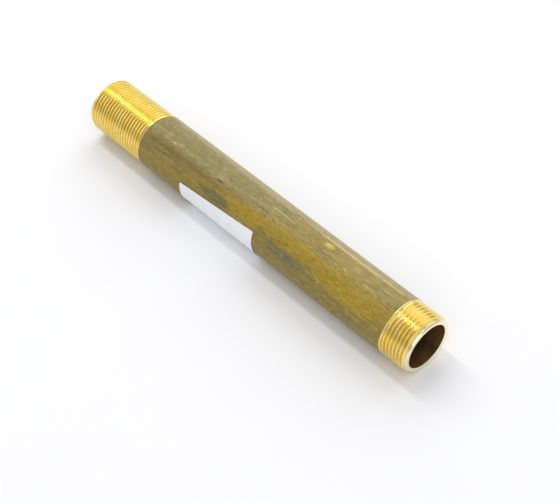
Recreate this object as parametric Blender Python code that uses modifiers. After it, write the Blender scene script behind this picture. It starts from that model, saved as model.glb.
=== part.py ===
"""A threaded pipe nipple: one brass pipe with a cut thread at each end, and its blank size label.

The pipe lies along X with its axis on the X axis and its middle at the origin. The short thread is
at +X, the long thread at -X, and the lowest line of the pipe at -Z is the one it lies on.
"""

import math

import bmesh
import bpy
from mathutils import Matrix, Vector

# Driving dimensions, in metres
PIPE_LENGTH = 0.2032
PIPE_DIAMETER = 0.02667
WALL_THICKNESS = 0.002885
BORE_EDGE_BREAK = 0.0003

THREAD_PITCH = 0.0018143
THREAD_TURN_DOWN = 0.000115  # radial cut that sizes the pipe before its thread
SHORT_THREAD_LENGTH = 0.0145
LONG_THREAD_LENGTH = 0.0358
RUN_OUT_LENGTH = 0.0024
SHORT_CHAMFER_LENGTH = 0.0018
LONG_CHAMFER_LENGTH = 0.0008
LONG_CHAMFER_DEPTH = 0.0006

LABEL_LENGTH = 0.0475
LABEL_WIDTH = 0.020
LABEL_THICKNESS = 0.00015
LABEL_GAP = 0.0003
LABEL_FROM_LONG_THREAD = 0.0303
LABEL_TOP_ANGLE = math.radians(68.8)  # from the pipe's top line, towards -Y
LABEL_SKEW = math.radians(3.8)

# Whitworth thread form, as shares of the pitch
FLANK_ANGLE = math.radians(27.5)
DEPTH_SHARE = 0.640327
FLAT_SHARE = 1.0 / 6.0

# Facets
PIPE_SEGMENTS = 36
LABEL_COLUMNS = 12
LABEL_ROWS = 14

# How far a cutter reaches past what it cuts
CUT_MARGIN = 0.0004

PIPE_RADIUS = PIPE_DIAMETER / 2
BORE_RADIUS = PIPE_RADIUS - WALL_THICKNESS
CREST_RADIUS = PIPE_RADIUS - THREAD_TURN_DOWN
THREAD_DEPTH = DEPTH_SHARE * THREAD_PITCH
ROOT_RADIUS = CREST_RADIUS - THREAD_DEPTH
HALF_LENGTH = PIPE_LENGTH / 2


def clear_scene():
    for obj in list(bpy.data.objects):
        bpy.data.objects.remove(obj, do_unlink=True)


def new_collection(name):
    collection = bpy.data.collections.new(name)
    bpy.context.scene.collection.children.link(collection)
    return collection


def add_object(name, mesh, collection):
    obj = bpy.data.objects.new(name, mesh)
    collection.objects.link(obj)
    return obj


def principled(name, color, roughness, metallic):
    material = bpy.data.materials.new(name)
    material.use_nodes = True
    shader = material.node_tree.nodes["Principled BSDF"]
    shader.inputs["Base Color"].default_value = (*color, 1.0)
    shader.inputs["Roughness"].default_value = roughness
    shader.inputs["Metallic"].default_value = metallic
    return material


def brass():
    return principled("brass", (0.55, 0.42, 0.16), 0.35, 1.0)


def label_paper():
    return principled("label_paper", (0.88, 0.88, 0.86), 0.6, 0.0)


def blank_profile():
    """Half section of the pipe before it is threaded, as (radius, height), down the outside first."""
    bore_edge = BORE_RADIUS + BORE_EDGE_BREAK
    short_shoulder = HALF_LENGTH - SHORT_THREAD_LENGTH
    long_shoulder = LONG_THREAD_LENGTH - HALF_LENGTH
    return [
        (ROOT_RADIUS, HALF_LENGTH),
        (CREST_RADIUS, HALF_LENGTH - SHORT_CHAMFER_LENGTH),
        (CREST_RADIUS, short_shoulder),
        (PIPE_RADIUS, short_shoulder - THREAD_TURN_DOWN),
        (PIPE_RADIUS, long_shoulder + THREAD_TURN_DOWN),
        (CREST_RADIUS, long_shoulder),
        (CREST_RADIUS, LONG_CHAMFER_LENGTH - HALF_LENGTH),
        (CREST_RADIUS - LONG_CHAMFER_DEPTH, -HALF_LENGTH),
        (bore_edge, -HALF_LENGTH),
        (BORE_RADIUS, BORE_EDGE_BREAK - HALF_LENGTH),
        (BORE_RADIUS, HALF_LENGTH - BORE_EDGE_BREAK),
        (bore_edge, HALF_LENGTH),
    ]


def make_blank(collection, material):
    """The pipe turned from its half section about Z, then laid along X."""
    profile = blank_profile()
    mesh = bpy.data.meshes.new("nipple")
    points = [(radius, 0.0, height) for radius, height in profile]
    edges = [(i, (i + 1) % len(points)) for i in range(len(points))]
    mesh.from_pydata(points, edges, [])
    blank = add_object("nipple", mesh, collection)
    blank.rotation_euler = (0.0, math.pi / 2, 0.0)
    turn = blank.modifiers.new("turn", "SCREW")
    turn.axis = "Z"
    turn.steps = PIPE_SEGMENTS
    turn.render_steps = PIPE_SEGMENTS
    turn.use_merge_vertices = True
    turn.merge_threshold = 0.00001
    turn.use_smooth_shade = True
    mesh.materials.append(material)
    return blank


def groove_section():
    """Cross-section of one thread groove, as (radius, height) about the middle of its root."""
    half_root = FLAT_SHARE * THREAD_PITCH / 2
    half_mouth = half_root + THREAD_DEPTH * math.tan(FLANK_ANGLE)
    outside = PIPE_RADIUS + CUT_MARGIN
    return [
        (ROOT_RADIUS, half_root),
        (ROOT_RADIUS, -half_root),
        (CREST_RADIUS, -half_mouth),
        (outside, -half_mouth),
        (outside, half_mouth),
        (CREST_RADIUS, half_mouth),
    ]


def make_groove_cutter(name, thread_length, collection):
    """A right-hand helical bar along +Z that starts beyond the pipe's end at z = 0 and runs inwards to -Z.

    Over the run-out it moves away from the axis, as a die's tapered lead leaves it, until it is clear.
    """
    run_out_start = thread_length - RUN_OUT_LENGTH
    lift_slope = (THREAD_DEPTH + THREAD_TURN_DOWN + CUT_MARGIN) / RUN_OUT_LENGTH
    turns = math.ceil((thread_length + THREAD_PITCH) / THREAD_PITCH)
    steps = turns * PIPE_SEGMENTS
    bm = bmesh.new()
    corners = [bm.verts.new((radius, 0.0, THREAD_PITCH + height)) for radius, height in groove_section()]
    face = bm.faces.new(corners)
    bmesh.ops.spin(
        bm,
        geom=[face],
        axis=(0.0, 0.0, 1.0),
        cent=(0.0, 0.0, 0.0),
        dvec=(0.0, 0.0, -THREAD_PITCH / PIPE_SEGMENTS),
        angle=-2 * math.pi * turns,
        steps=steps,
        use_duplicate=False,
    )
    for vert in bm.verts:
        depth_in = -vert.co.z - run_out_start
        if depth_in > 0.0:
            radius = vert.co.xy.length
            scale = 1.0 + depth_in * lift_slope / radius
            vert.co.x *= scale
            vert.co.y *= scale
    bmesh.ops.recalc_face_normals(bm, faces=bm.faces)
    mesh = bpy.data.meshes.new(name)
    bm.to_mesh(mesh)
    bm.free()
    cutter = add_object(name, mesh, collection)
    cutter.hide_render = True
    cutter.display_type = "WIRE"
    return cutter


def cut_thread(pipe, cutter):
    cut = pipe.modifiers.new(cutter.name, "BOOLEAN")
    cut.operation = "DIFFERENCE"
    cut.solver = "EXACT"
    cut.object = cutter


def make_nipple(parts, cutters, material):
    pipe = make_blank(parts, material)
    short_cutter = make_groove_cutter("short_thread_groove", SHORT_THREAD_LENGTH, cutters)
    short_cutter.matrix_world = Matrix.Translation((HALF_LENGTH, 0.0, 0.0)) @ Matrix.Rotation(
        math.pi / 2, 4, "Y"
    )
    long_cutter = make_groove_cutter("long_thread_groove", LONG_THREAD_LENGTH, cutters)
    long_cutter.matrix_world = Matrix.Translation((-HALF_LENGTH, 0.0, 0.0)) @ Matrix.Rotation(
        -math.pi / 2, 4, "Y"
    )
    cut_thread(pipe, short_cutter)
    cut_thread(pipe, long_cutter)
    return pipe


def make_label(collection, material):
    """A flat sheet, turned by its skew, then wrapped round the pipe and thickened outwards."""
    mesh = bpy.data.meshes.new("size_label")
    bm = bmesh.new()
    bmesh.ops.create_grid(bm, x_segments=LABEL_COLUMNS, y_segments=LABEL_ROWS, size=0.5)
    bmesh.ops.scale(bm, vec=(LABEL_LENGTH, LABEL_WIDTH, 1.0), verts=bm.verts)
    bmesh.ops.rotate(bm, matrix=Matrix.Rotation(LABEL_SKEW, 3, "Z"), verts=bm.verts)
    inner_radius = PIPE_RADIUS + LABEL_GAP
    middle = LONG_THREAD_LENGTH - HALF_LENGTH + LABEL_FROM_LONG_THREAD + LABEL_LENGTH / 2
    middle_angle = LABEL_TOP_ANGLE + LABEL_WIDTH / 2 / PIPE_RADIUS
    for vert in bm.verts:
        angle = middle_angle - vert.co.y / PIPE_RADIUS
        vert.co = Vector(
            (middle + vert.co.x, -inner_radius * math.sin(angle), inner_radius * math.cos(angle))
        )
    bm.to_mesh(mesh)
    bm.free()
    mesh.materials.append(material)
    mesh.shade_smooth()
    label = add_object("size_label", mesh, collection)
    paper = label.modifiers.new("paper", "SOLIDIFY")
    paper.thickness = LABEL_THICKNESS
    paper.offset = 1.0
    return label


def main():
    clear_scene()
    parts = new_collection("threaded_pipe_nipple")
    cutters = new_collection("cutters")
    make_nipple(parts, cutters, brass())
    make_label(parts, label_paper())


main()
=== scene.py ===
import math

import bpy
import numpy as np
from mathutils import Matrix, Vector


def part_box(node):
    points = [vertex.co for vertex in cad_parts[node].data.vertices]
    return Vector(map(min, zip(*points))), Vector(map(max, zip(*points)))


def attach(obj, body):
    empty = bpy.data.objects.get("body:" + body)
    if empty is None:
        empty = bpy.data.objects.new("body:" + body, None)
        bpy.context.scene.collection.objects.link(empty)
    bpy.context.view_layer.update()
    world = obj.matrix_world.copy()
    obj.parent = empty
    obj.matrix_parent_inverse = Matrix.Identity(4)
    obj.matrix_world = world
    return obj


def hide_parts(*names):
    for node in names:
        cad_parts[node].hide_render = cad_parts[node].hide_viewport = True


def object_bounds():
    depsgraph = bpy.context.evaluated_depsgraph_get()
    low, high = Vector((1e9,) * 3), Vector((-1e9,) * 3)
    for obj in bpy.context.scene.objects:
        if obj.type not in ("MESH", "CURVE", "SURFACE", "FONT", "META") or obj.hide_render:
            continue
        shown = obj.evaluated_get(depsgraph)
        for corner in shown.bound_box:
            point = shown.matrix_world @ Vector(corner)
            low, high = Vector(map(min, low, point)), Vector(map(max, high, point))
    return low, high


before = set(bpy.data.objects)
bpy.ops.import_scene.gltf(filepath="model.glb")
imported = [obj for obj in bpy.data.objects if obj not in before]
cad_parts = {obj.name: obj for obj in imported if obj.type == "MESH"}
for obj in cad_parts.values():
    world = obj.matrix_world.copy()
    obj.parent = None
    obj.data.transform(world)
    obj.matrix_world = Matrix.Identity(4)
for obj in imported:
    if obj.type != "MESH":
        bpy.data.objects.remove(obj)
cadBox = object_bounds()
print("frame loaded")

# The pipe lies along X, short thread at +X, long thread at -X, and its top line is at +Z.
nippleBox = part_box("nipple")
halfLength = max(abs(nippleBox[0][0]), abs(nippleBox[1][0]))
pipeRadius = nippleBox[1][2]
floorHeight = cadBox[0][2]


class Wire:
    # One output socket of a material. Python operators on it add the Math nodes.
    def __init__(self, paint, socket):
        self.paint = paint
        self.socket = socket

    def math(self, operation, *values):
        return self.paint.add("ShaderNodeMath", {"operation": operation}, dict(enumerate(values)))

    def sibling(self, output):
        # Another output of the same node.
        return Wire(self.paint, self.socket.node.outputs[output])

    def __add__(self, other):
        return self.math("ADD", self, other)

    def __radd__(self, other):
        return self.math("ADD", other, self)

    def __sub__(self, other):
        return self.math("SUBTRACT", self, other)

    def __rsub__(self, other):
        return self.math("SUBTRACT", other, self)

    def __mul__(self, other):
        return self.math("MULTIPLY", self, other)

    def __rmul__(self, other):
        return self.math("MULTIPLY", other, self)

    def __pow__(self, other):
        return self.math("POWER", self, other)

    def __rpow__(self, other):
        return self.math("POWER", other, self)


class Paint:
    # A material's node tree. Every node comes from add().
    def __init__(self, name):
        self.material = bpy.data.materials.new(name)
        self.material.use_nodes = True
        self.tree = self.material.node_tree
        self.tree.nodes.clear()
        self.place = self.add("ShaderNodeTexCoord", {}, {}, "Object")

    def add(self, kind, settings, inputs, output=0):
        node = self.tree.nodes.new(kind)
        for name, value in settings.items():
            setattr(node, name, value)
        for name, value in inputs.items():
            if isinstance(value, Wire):
                self.tree.links.new(value.socket, node.inputs[name])
            else:
                node.inputs[name].default_value = value
        return Wire(self, node.outputs[output]) if node.outputs else None

    def mix(self, factor, first, second):
        # The colours of a Mix node are its inputs 6 and 7 and its output 2.
        colors = [c if isinstance(c, Wire) else (*c, 1.0) for c in (first, second)]
        inputs = {0: factor, 6: colors[0], 7: colors[1]}
        return self.add("ShaderNodeMix", {"data_type": "RGBA"}, inputs, 2)

    def noise(self, scale, detail, roughness, offset=(0.0, 0.0, 0.0), distortion=0.0):
        inputs = {"Vector": self.place, "Scale": scale, "Location": offset}
        mapped = self.add("ShaderNodeMapping", {}, inputs)
        inputs = {"Vector": mapped, "Scale": 1.0, "Detail": detail}
        inputs.update({"Roughness": roughness, "Distortion": distortion})
        return self.add("ShaderNodeTexNoise", {}, inputs)

    def step(self, value, low, high):
        # 0 below low, 1 above high, a smooth rise between. With low above high it falls instead.
        settings = {"interpolation_type": "SMOOTHSTEP"}
        return self.add("ShaderNodeMapRange", settings, {0: value, 1: low, 2: high, 3: 0.0, 4: 1.0})

    def alongAxis(self):
        return self.add("ShaderNodeSeparateXYZ", {}, {"Vector": self.place})

    def fromAxis(self):
        # distance from the pipe's axis
        x = self.alongAxis()
        y, z = x.sibling("Y"), x.sibling("Z")
        return (y * y + z * z) ** 0.5

    def bump(self, height, strength, distance):
        inputs = {"Strength": strength, "Distance": distance, "Height": height}
        return self.add("ShaderNodeBump", {}, inputs)

    def finish(self, sockets):
        shader = self.add("ShaderNodeBsdfPrincipled", {}, sockets)
        self.add("ShaderNodeOutputMaterial", {}, {"Surface": shader})
        return self.material


def ringMesh(name, radii, places, columns):
    # A tube wall closed both ways. Row i is a ring of the given radius at the given place along X, and
    # column j stands at the angle 2 pi j / columns from the top line towards +Y.
    # radii and places are arrays of rows by columns.
    rows = radii.shape[0]
    angle = np.arange(columns) * (2 * np.pi / columns)
    points = np.stack([places, radii * np.sin(angle), radii * np.cos(angle)], axis=-1)
    i, j = np.meshgrid(np.arange(rows), np.arange(columns), indexing="ij")
    corners = [(i, j), (i, j + 1), (i + 1, j + 1), (i + 1, j)]
    faces = np.stack([(a % rows) * columns + b % columns for a, b in corners], axis=-1).reshape(-1, 4)
    length = np.linalg.norm(np.diff(np.vstack([points[:, 0], points[:1, 0]]), axis=0), axis=1)
    along = np.concatenate([[0.0], np.cumsum(length)]) / length.sum()
    uv = np.stack([np.stack([b / columns, along[a]], axis=-1) for a, b in corners], axis=2)
    return meshFrom(name, points.reshape(-1, 3), faces, uv.reshape(-1, 2))


def sheetMesh(name, points):
    # An open sheet from an array of rows by columns of points.
    rows, columns = points.shape[:2]
    i, j = np.meshgrid(np.arange(rows - 1), np.arange(columns - 1), indexing="ij")
    corners = [(i, j), (i, j + 1), (i + 1, j + 1), (i + 1, j)]
    faces = np.stack([a * columns + b for a, b in corners], axis=-1).reshape(-1, 4)
    uv = [np.stack([b / (columns - 1), a / (rows - 1)], axis=-1) for a, b in corners]
    return meshFrom(name, points.reshape(-1, 3), faces, np.stack(uv, axis=2).reshape(-1, 2))


def meshFrom(name, points, faces, uv):
    mesh = bpy.data.meshes.new(name)
    mesh.vertices.add(len(points))
    mesh.vertices.foreach_set("co", points.astype(np.float32).ravel())
    mesh.loops.add(faces.size)
    mesh.loops.foreach_set("vertex_index", faces.astype(np.int32).ravel())
    mesh.polygons.add(len(faces))
    mesh.polygons.foreach_set("loop_start", np.arange(0, faces.size, 4, dtype=np.int32))
    mesh.uv_layers.new(name="OFBake")
    mesh.uv_layers[0].uv.foreach_set("vector", uv.astype(np.float32).ravel())
    mesh.update(calc_edges=True)
    mesh.validate()
    piece = bpy.data.objects.new(name, mesh)
    bpy.context.scene.collection.objects.link(piece)
    mesh.shade_smooth()
    return piece


def smoothNoise(a, b, seed):
    # Soft bumps between -1 and 1: a sum of five sines of a and b with unrelated rates.
    # b goes round the pipe, so its rates are whole numbers.
    total = 0.0
    for k in range(5):
        rate = 1.0 + 1.37 * k + 0.29 * seed
        turns = 2 + (3 * k + 5 * seed) % 11
        total = total + np.sin(rate * a + turns * b + 1.7 * k * seed) / (1 + 0.6 * k)
    return total / 3.0


nipple = {
    "boreRadius": 0.01045,
    "boreEdgeBreak": 0.0003,
    "turnDown": 0.000115,       # how far a crest lies under the barrel's surface
    "pitch": 0.0018143,
    "sharpShare": 0.960491,     # height of the thread's sharp triangle over pitch
    "depthShare": 0.640327,     # thread depth over pitch
    "roundingShare": 0.137329,  # crest and root radius over pitch
    "flankAngle": math.radians(27.5),
    "runOut": 0.0013,
    "runOutExtra": 0.0003,      # the root aims this far past the crest, so it is gone by the shoulder
    "faceEdge": 0.00005,        # narrow ring of the end face beside its bore edge
    "faceRim": 0.00016,         # how far inside the thread root the end face's outer ring lies
    "nickDepth": 0.00007,
    "nickLevel": 0.40,          # higher leaves fewer nicks
    "nickRates": (1700, 600),
    "rippleDepth": 0.000004,
    "rippleRate": 1300,
    "noseRows": 14,
    # start is the thread's turn about the axis, as a share of one turn
    "shortEnd": {
        "side": 1,
        "length": 0.0145,
        "start": 0.198,
        "noseLength": 0.0018,
        "noseDepth": 0.00116,
        "rowStep": 0.00009,
        "columns": 288,
    },
    "longEnd": {
        "side": -1,
        "length": 0.0358,
        "start": 0.528,
        "noseLength": 0.0008,
        "noseDepth": 0.0006,
        "rowStep": 0.0001,
        "columns": 240,
    },
}
crestRadius = pipeRadius - nipple["turnDown"]
threadDepth = nipple["depthShare"] * nipple["pitch"]
rootRadius = crestRadius - threadDepth


def threadRadius(depth, angle, start):
    # Radius of the standard rounded thread at a depth from the end face and an angle round the pipe:
    # a straight flank between a crest arc and a root arc, repeated every pitch along a right-hand helix.
    pitch = nipple["pitch"]
    phase = (depth / pitch - angle / (2 * np.pi) - start) % 1.0
    w = np.minimum(phase, 1.0 - phase) * pitch
    toRoot = pitch / 2 - w
    rounding = nipple["roundingShare"] * pitch
    reach = rounding * math.cos(nipple["flankAngle"])
    sharpCrest = crestRadius + nipple["sharpShare"] * pitch / 6
    flank = sharpCrest - w / math.tan(nipple["flankAngle"])
    crest = crestRadius - rounding + np.sqrt(np.maximum(rounding**2 - w**2, 0.0))
    root = rootRadius + rounding - np.sqrt(np.maximum(rounding**2 - toRoot**2, 0.0))
    return np.where(w < reach, crest, np.where(toRoot < reach, root, flank))


def threadedEnd(name, end):
    # One threaded end as a closed ring: out along the bore to its edge break, across the end face, up
    # the nose chamfer, along the thread to the shoulder, and back through the wall.
    side, length, columns = end["side"], end["length"], end["columns"]
    noseRows = np.linspace(0.0, end["noseLength"], nipple["noseRows"])
    threadRows = np.arange(end["noseLength"] + end["rowStep"], length, end["rowStep"])
    depth = np.concatenate([noseRows, threadRows, [length]])[:, None]
    angle = (np.arange(columns) * (2 * np.pi / columns))[None, :]
    radius = threadRadius(depth, angle * side, end["start"])
    intoRunOut = np.clip(depth - (length - nipple["runOut"]), 0.0, None) / nipple["runOut"]
    radius = np.minimum(radius + intoRunOut * (threadDepth + nipple["runOutExtra"]), crestRadius)
    # small nicks and burrs on the crests
    fine, coarse = nipple["nickRates"]
    bumps = smoothNoise(depth * fine, angle, 3) * smoothNoise(depth * coarse, angle, 2)
    nick = np.clip(bumps - nipple["nickLevel"], 0, 1)
    high = np.clip((radius - rootRadius) / threadDepth, 0, 1) ** 3
    radius = radius - nipple["nickDepth"] * nick * high
    radius = radius + nipple["rippleDepth"] * smoothNoise(depth * nipple["rippleRate"], angle * 2, 1)
    chamfer = crestRadius - end["noseDepth"] * (1 - np.clip(depth / end["noseLength"], 0, 1))
    radius = np.minimum(np.minimum(radius, chamfer), crestRadius)
    bore = nipple["boreRadius"]
    edgeBreak = nipple["boreEdgeBreak"]
    edge = bore + edgeBreak
    boreRows = [
        (length, bore),
        (length * 0.5, bore),
        (edgeBreak * 1.15, bore),
        (edgeBreak * 0.85, bore + edgeBreak * 0.06),
        (edgeBreak * 0.12, edge - edgeBreak * 0.15),
        (0.0, edge),
        (0.0, edge + nipple["faceEdge"]),
        (0.0, (edge + rootRadius) / 2),
        (0.0, rootRadius - nipple["faceRim"]),
    ]
    first = np.array(boreRows)[:, :, None] + np.zeros(columns)
    depths = np.concatenate([first[:, 0], depth + np.zeros_like(radius)])
    radii = np.concatenate([first[:, 1], radius])
    places = side * (halfLength - depths)
    if side < 0:
        radii, places = radii[::-1], places[::-1]
    return ringMesh(name, radii, places, columns)


barrelSkin = {
    "waveDepth": 0.00003,
    "waveRate": 55,
    "dentDepth": 0.00012,
    "dentRate": 260,
    "dentLevel": 0.75,  # higher leaves fewer dents
    "rows": 170,
    "columns": 240,
}


def barrelTube(name):
    # The plain length between the two shoulders, as a closed ring, with the faint waves and shallow
    # dents of drawn tube in its outer surface.
    shortSide = halfLength - nipple["shortEnd"]["length"]
    longSide = nipple["longEnd"]["length"] - halfLength
    step = nipple["turnDown"]
    columns = barrelSkin["columns"]
    x = np.linspace(shortSide - step, longSide + step, barrelSkin["rows"])[:, None]
    angle = (np.arange(columns) * (2 * np.pi / columns))[None, :]
    wave = 0.5 + 0.5 * smoothNoise(x * barrelSkin["waveRate"], angle, 1)
    bumps = smoothNoise(x * barrelSkin["dentRate"], angle * 3, 4)
    dents = np.clip(bumps - barrelSkin["dentLevel"], 0, 1)
    outer = pipeRadius - barrelSkin["waveDepth"] * wave - barrelSkin["dentDepth"] * dents
    bore = nipple["boreRadius"]
    ends = [(longSide, crestRadius), (longSide, bore), (shortSide, bore), (shortSide, crestRadius)]
    ends = np.array(ends)[:, :, None] + np.zeros(columns)
    places = np.concatenate([x + np.zeros_like(outer), ends[:, 0]])
    radii = np.concatenate([outer, ends[:, 1]])
    return ringMesh(name, radii, places, columns)


boreFinish = {
    "deep": (0.050, 0.022, 0.005),
    "rust": (0.190, 0.098, 0.022),
    "patches": ((45, 70, 70), 4, 0.6),
    "edgeBlend": (0.00004, 0.00016),  # where the bore's colour starts and ends, past the bore radius
}


def boreMask(paint, radius):
    # 1 on the bore's wall, 0 on everything outside its edge
    near, far = boreFinish["edgeBlend"]
    return 1 - paint.step(radius, nipple["boreRadius"] + near, nipple["boreRadius"] + far)


def boreColor(paint):
    patches = paint.noise(*boreFinish["patches"])
    return paint.mix(paint.step(patches, 0.35, 0.7), boreFinish["deep"], boreFinish["rust"])


patina = {
    "base": (0.300, 0.218, 0.042),
    "cool": (0.245, 0.212, 0.072),
    "warm": (0.400, 0.265, 0.035),
    "green": (0.165, 0.155, 0.062),
    "brown": (0.120, 0.075, 0.018),
    "bright": (0.60, 0.47, 0.20),
    "dark": (0.040, 0.032, 0.016),
    "metallic": 0.28,
    "roughness": 0.46,
    "specular": 0.35,
    "bump": (0.5, 0.00006),
    # noises as: scale along X, Y and Z, detail, roughness, offset, distortion
    "noises": {
        "broad": ((30, 110, 110), 5, 0.6, (0.3, 1.1, 0.2), 0.6),
        "streaks": ((40, 620, 620), 5, 0.7, (3.1, 0.4, 7.7), 0.4),
        "mottle": ((330, 900, 900), 5, 0.72, (6.1, 3.4, 1.7), 0.8),
        "fine": ((260, 2400, 2400), 4, 0.7, (1.2, 5.5, 0.9)),
        "hair": ((90, 7500, 7500), 2, 0.5, (8.2, 2.5, 4.4)),
        "grain": ((1700, 2300, 2300), 4, 0.7, (5.1, 2.2, 9.4)),
        "spots": ((700, 1300, 1300), 2, 0.5, (2.0, 3.0, 4.0)),
    },
    # coats as: noise, where it starts, where it is full, strength, colour
    "underStains": [
        ("broad", 0.42, 0.58, 1.0, "cool"),
        ("streaks", 0.50, 0.60, 0.6, "warm"),
        ("streaks", 0.47, 0.38, 0.5, "green"),
    ],
    "overStains": [
        ("mottle", 0.53, 0.66, 0.40, "brown"),
        ("mottle", 0.47, 0.34, 0.40, "bright"),
        ("fine", 0.53, 0.64, 0.50, "brown"),
        ("grain", 0.55, 0.66, 0.35, "warm"),
        ("hair", 0.57, 0.70, 0.42, "bright"),
        ("spots", 0.66, 0.74, 0.65, "dark"),
    ],
    "raggedness": 3.4,
    "ovalEdge": (0.60, 1.10),  # where an oval starts to fade and where it ends, over its half size
    # stains, and two painted light bands, as: colour, strength, place along X, turn from the top line
    # towards -Y in degrees, half length, half width
    "stainsAndPaintedLight": [
        # not a stain: a pale band along the whole barrel, 38 degrees from the top line towards +Y, is
        # painted sheen
        ((0.460, 0.385, 0.215), 0.75, 0.020, -38, 0.110, 0.0050),
        ((0.235, 0.208, 0.085), 0.80, -0.036, 6, 0.066, 0.0080),
        ((0.310, 0.250, 0.088), 0.60, 0.070, -2, 0.028, 0.0048),
        # not a stain: a darker band along the whole barrel, 88 degrees from the top line towards -Y, is
        # painted shade
        ((0.250, 0.175, 0.026), 0.75, 0.010, 88, 0.120, 0.0062),
        ((0.410, 0.285, 0.026), 0.80, 0.043, 37, 0.066, 0.0036),
        ((0.440, 0.290, 0.022), 0.85, 0.063, 52, 0.019, 0.0036),
        ((0.420, 0.275, 0.022), 0.85, 0.002, 45, 0.013, 0.0036),
        ((0.160, 0.158, 0.078), 0.90, 0.031, 67, 0.014, 0.0028),
        ((0.155, 0.150, 0.068), 0.90, -0.015, 55, 0.010, 0.0025),
        ((0.230, 0.140, 0.030), 0.75, -0.040, 36, 0.030, 0.0012),
        ((0.200, 0.140, 0.055), 0.55, 0.045, 13, 0.010, 0.0018),
        ((0.080, 0.062, 0.038), 0.70, -0.017, 24, 0.0020, 0.0007),
        ((0.100, 0.090, 0.050), 0.60, 0.008, 16, 0.0060, 0.0004),
        ((0.760, 0.540, 0.140), 0.70, 0.044, -7, 0.0028, 0.0012),
        ((0.700, 0.540, 0.250), 0.60, 0.062, -21, 0.030, 0.0009),
        ((0.850, 0.780, 0.520), 0.80, 0.017, 0, 0.0110, 0.00013),
        ((0.780, 0.710, 0.450), 0.60, 0.009, -7, 0.0075, 0.00011),
        ((0.700, 0.600, 0.350), 0.60, 0.081, 64, 0.0060, 0.00012),
        ((0.680, 0.580, 0.330), 0.60, 0.072, 76, 0.0050, 0.00012),
    ],
}


def ovalMask(paint, ragged, along, turn, halfLong, halfWide):
    # 1 inside an oval lying on the barrel, with a ragged edge.
    angle = math.radians(turn)
    middle = (along, -pipeRadius * math.sin(angle), pipeRadius * math.cos(angle))
    scale = (halfLong, halfWide, pipeRadius * 0.5)
    inputs = {"Vector": paint.place, "Location": middle, "Rotation": (angle, 0.0, 0.0), "Scale": scale}
    local = paint.add("ShaderNodeMapping", {"vector_type": "TEXTURE"}, inputs)
    distance = paint.add("ShaderNodeVectorMath", {"operation": "LENGTH"}, {0: local}, "Value")
    return 1 - paint.step(distance + (ragged - 0.5) * patina["raggedness"], *patina["ovalEdge"])


def coat(paint, noises, base, rows):
    for name, low, high, strength, color in rows:
        base = paint.mix(paint.step(noises[name], low, high) * strength, base, patina[color])
    return base


def tarnishedBrass():
    paint = Paint("tarnishedBrass")
    noises = {name: paint.noise(*values) for name, values in patina["noises"].items()}
    base = coat(paint, noises, patina["base"], patina["underStains"])
    ragged = noises["broad"] * 0.30 + noises["streaks"] * 0.25 + noises["mottle"] * 0.45
    # the stains go on here, and with them the painted sheen band and the painted shade band
    for color, strength, along, turn, halfLong, halfWide in patina["stainsAndPaintedLight"]:
        mask = ovalMask(paint, ragged, along, turn, halfLong, halfWide)
        base = paint.mix(mask * strength, base, color)
    base = coat(paint, noises, base, patina["overStains"])
    bore = boreMask(paint, paint.fromAxis())
    color = paint.mix(bore, base, boreColor(paint))
    uneven = (noises["mottle"] - 0.5) * 0.40 + (noises["fine"] - 0.5) * 0.30
    rough = patina["roughness"] + uneven + bore * 0.15
    metal = patina["metallic"] + (noises["streaks"] - 0.5) * 0.3 - bore * 0.2
    height = noises["fine"] * 0.45 + noises["hair"] * 0.30 + noises["grain"] * 0.25
    normal = paint.bump(height, *patina["bump"])
    sockets = {"Base Color": color, "Roughness": rough, "Metallic": metal, "Normal": normal}
    return paint.finish({**sockets, "Specular IOR Level": patina["specular"]})


cutBrass = {
    # each end's colours, as: yellow, pale
    "short": ((0.90, 0.70, 0.20), (0.93, 0.78, 0.40)),
    "long": ((0.93, 0.71, 0.18), (0.95, 0.79, 0.33)),
    # root is painted shade: a darker gold laid into the thread roots
    "root": (0.74, 0.53, 0.10),
    "rootShadeShare": 0.55,
    # face is a painted highlight: a near-white brass laid over the end face and nose chamfer
    "face": (1.00, 0.93, 0.72),
    "faceHighlightShare": 0.8,
    "faceHighlightStart": 0.0001,
    "rings": ((9000, 60, 60), 2, 0.5, (1.0, 0.0, 0.0)),
    "tone": ((260, 180, 180), 4, 0.6, (4.0, 1.0, 2.0)),
    "roughness": 0.24,
    "bump": (0.06, 0.00003),
}


def freshlyCutBrass(name, end, tones):
    paint = Paint(name)
    yellow, pale = tones
    radius = paint.fromAxis()
    depth = halfLength - paint.alongAxis() * end["side"]
    rings = paint.noise(*cutBrass["rings"])
    tone = paint.noise(*cutBrass["tone"])
    color = paint.mix(paint.step(tone, 0.35, 0.7), yellow, pale)
    # painted shade: the thread roots darkened towards the root colour
    paintedRootShade = 1 - paint.step(radius, rootRadius, crestRadius)
    color = paint.mix(paintedRootShade * cutBrass["rootShadeShare"], color, cutBrass["root"])
    # painted highlight: the end face and nose chamfer paled towards the face colour
    paintedFaceHighlight = 1 - paint.step(depth, cutBrass["faceHighlightStart"], end["noseLength"])
    color = paint.mix(paintedFaceHighlight * cutBrass["faceHighlightShare"], color, cutBrass["face"])
    bore = boreMask(paint, radius)
    color = paint.mix(bore, color, boreColor(paint))
    rough = cutBrass["roughness"] + (rings - 0.5) * 0.12 + (tone - 0.5) * 0.15 + bore * 0.4
    metal = 1 - bore * 0.6
    normal = paint.bump(rings * 0.6 + tone * 0.4, *cutBrass["bump"])
    return paint.finish({"Base Color": color, "Roughness": rough, "Metallic": metal, "Normal": normal})


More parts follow.
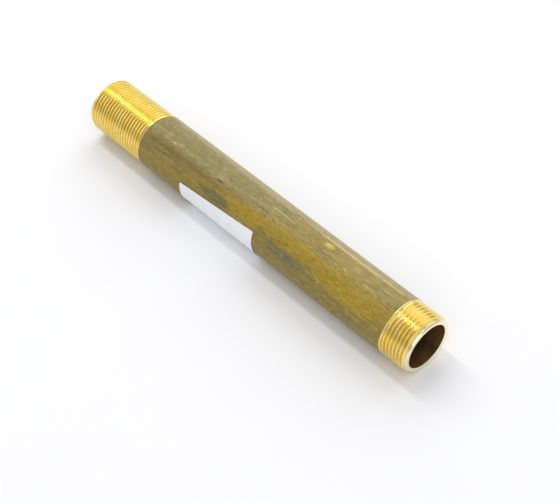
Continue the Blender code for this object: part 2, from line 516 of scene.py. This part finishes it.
label = {
    "length": 0.0475,
    "width": 0.020,
    "thickness": 0.0001,
    "skew": math.radians(3.8),
    "fromLongThread": 0.0303,
    "topAngle": math.radians(68.8),
    "cornerRadius": 0.0008,
    "glueGap": 0.00003,
    "edgeLift": 0.00014,
    "liftReach": 0.0009,      # how far in from the border the lift has mostly died away
    "wrinkleDepth": 0.00002,
    "wrinkleRate": 1900,
    "wrinkleSway": (0.8, 160),
    "wrinkleBorder": 0.003,   # wrinkles grow to their full depth this far in
    "rows": 61,
    "columns": 121,
    "white": (0.90, 0.915, 0.935),
    "cool": (0.86, 0.88, 0.92),
    "shade": (0.76, 0.78, 0.83),
    "fibre": ((2600, 2600, 2600), 4, 0.6),
    "tint": ((120, 160, 160), 3, 0.5, (2.0, 1.0, 0.0)),
    "roughness": 0.55,
    "bump": (0.2, 0.00003),
}


def labelSheet(name):
    # A flat sheet with rounded corners, turned by its skew, then wrapped round the pipe. Near its border
    # the paper stands off the metal a little, and its face has faint wrinkles along the pipe.
    halfLong = label["length"] / 2
    halfWide = label["width"] / 2
    u = np.sin(np.linspace(-np.pi / 2, np.pi / 2, label["columns"]))[None, :] * halfLong
    v = np.sin(np.linspace(-np.pi / 2, np.pi / 2, label["rows"]))[:, None] * halfWide
    inset = label["cornerRadius"]
    over = np.clip(np.abs(v) - (halfWide - inset), 0, inset)
    shorten = inset - np.sqrt(inset**2 - over**2)
    u = u * (1 - shorten / halfLong)
    v = v + np.zeros_like(u)
    toEdge = np.minimum(halfLong - np.abs(u), halfWide - np.abs(v))
    lift = label["edgeLift"] * np.exp(-toEdge / label["liftReach"])
    sway, swayRate = label["wrinkleSway"]
    wrinkle = np.abs(np.sin(v * label["wrinkleRate"] + sway * np.sin(u * swayRate)))
    wrinkle = label["wrinkleDepth"] * wrinkle * np.clip(toEdge / label["wrinkleBorder"], 0, 1)
    radius = pipeRadius + label["glueGap"] + label["thickness"] + lift + wrinkle
    along = u * math.cos(label["skew"]) - v * math.sin(label["skew"])
    upward = u * math.sin(label["skew"]) + v * math.cos(label["skew"])
    angle = label["topAngle"] + (halfWide - upward) / pipeRadius
    middle = nipple["longEnd"]["length"] - halfLength + label["fromLongThread"] + halfLong
    points = np.stack([middle + along, -radius * np.sin(angle), radius * np.cos(angle)], axis=-1)
    sheet = sheetMesh(name, points)
    paper = sheet.modifiers.new("paper", "SOLIDIFY")
    paper.thickness = label["thickness"]
    paper.offset = -1.0
    return sheet


def labelPaper():
    paint = Paint("labelPaper")
    fibre = paint.noise(*label["fibre"])
    tint = paint.noise(*label["tint"])
    color = paint.mix(paint.step(tint, 0.3, 0.7), label["cool"], label["white"])
    color = paint.mix(paint.step(fibre, 0.5, 0.8) * 0.25, color, label["shade"])
    normal = paint.bump(fibre, *label["bump"])
    return paint.finish({"Base Color": color, "Roughness": label["roughness"], "Normal": normal})


def place(piece, material, node):
    piece.data.materials.append(material)
    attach(piece, "root")
    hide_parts(node)


shortThread = threadedEnd("shortThread", nipple["shortEnd"])
longThread = threadedEnd("longThread", nipple["longEnd"])
barrel = barrelTube("barrel")
sticker = labelSheet("sizeLabel")
print("pipe and label shaped")

shortBrass = freshlyCutBrass("cutBrassShort", nipple["shortEnd"], cutBrass["short"])
longBrass = freshlyCutBrass("cutBrassLong", nipple["longEnd"], cutBrass["long"])
place(shortThread, shortBrass, "nipple")
place(longThread, longBrass, "nipple")
place(barrel, tarnishedBrass(), "nipple")
place(sticker, labelPaper(), "size_label")
print("nipple and label placed")


studio = {
    "floorSize": 6.0,
    "floorColor": (0.94, 0.943, 0.965),
    "floorShade": (0.84, 0.84, 0.87),
    "floorTint": ((9, 9, 9), 3, 0.5),
    "floorRoughness": 0.9,
    "worldLevel": 0.57,
    # soft lights as: name, direction from the object, distance, size along X, size across, power
    "lights": [
        ("overhead", (-0.50, 0.02, 0.87), 0.9, 0.70, 0.11, 1.8),
        ("side", (-0.28, 0.70, 0.64), 1.2, 1.40, 1.20, 6.4),
        ("front", (0.58, -0.48, 0.66), 1.1, 0.85, 0.85, 2.9),
    ],
}


def makeFloor():
    half = studio["floorSize"] / 2
    line = np.linspace(-half, half, 5)
    x, y = np.meshgrid(line, line)
    points = np.stack([x, y, np.full_like(x, floorHeight)], axis=-1)
    floor = sheetMesh("floor", points)
    paint = Paint("floorPaint")
    tint = paint.noise(*studio["floorTint"])
    color = paint.mix(tint * 0.25, studio["floorColor"], studio["floorShade"])
    sockets = {"Base Color": color, "Roughness": studio["floorRoughness"]}
    floor.data.materials.append(paint.finish(sockets))


def makeWorld():
    world = bpy.data.worlds.new("studio")
    bpy.context.scene.world = world
    world.use_nodes = True
    background = world.node_tree.nodes["Background"]
    background.inputs["Color"].default_value = (1.0, 1.0, 1.0, 1.0)
    background.inputs["Strength"].default_value = studio["worldLevel"]


def addLight(name, toward, distance, length, width, power):
    # A rectangular light facing the object, its long side as near to X as its direction allows.
    light = bpy.data.lights.new(name, "AREA")
    light.shape = "RECTANGLE"
    light.size = length
    light.size_y = width
    light.energy = power
    lamp = bpy.data.objects.new(name, light)
    away = Vector(toward).normalized()
    across = away.cross(Vector((1.0, 0.0, 0.0))).normalized()
    along = across.cross(away)
    turn = Matrix((along, across, away)).transposed().to_4x4()
    lamp.matrix_world = Matrix.Translation(away * distance) @ turn
    bpy.context.scene.collection.objects.link(lamp)


view = {
    "azimuth": math.radians(46.95),
    "elevation": math.radians(46.83),
    "distance": 0.573,
    "target": (0.0158, -0.0004, -0.0111),
    "lens": 84.05,
    "sensorWidth": 36.0,
    "clipStart": 0.01,
}


def makeCamera():
    camera = bpy.data.cameras.new("camera")
    camera.sensor_fit = "HORIZONTAL"
    camera.sensor_width = view["sensorWidth"]
    camera.lens = view["lens"]
    camera.clip_start = view["clipStart"]
    rig = bpy.data.objects.new("camera", camera)
    level = math.cos(view["elevation"])
    across = math.sin(view["azimuth"]) * level
    ahead = math.cos(view["azimuth"]) * level
    back = Vector((across, -ahead, math.sin(view["elevation"])))
    rig.location = Vector(view["target"]) + back * view["distance"]
    rig.rotation_euler = back.to_track_quat("Z", "Y").to_euler()
    bpy.context.scene.collection.objects.link(rig)
    bpy.context.scene.camera = rig


makeFloor()
makeWorld()
for light in studio["lights"]:
    addLight(*light)
makeCamera()
bpy.context.scene.view_settings.view_transform = "Standard"
print("studio made")
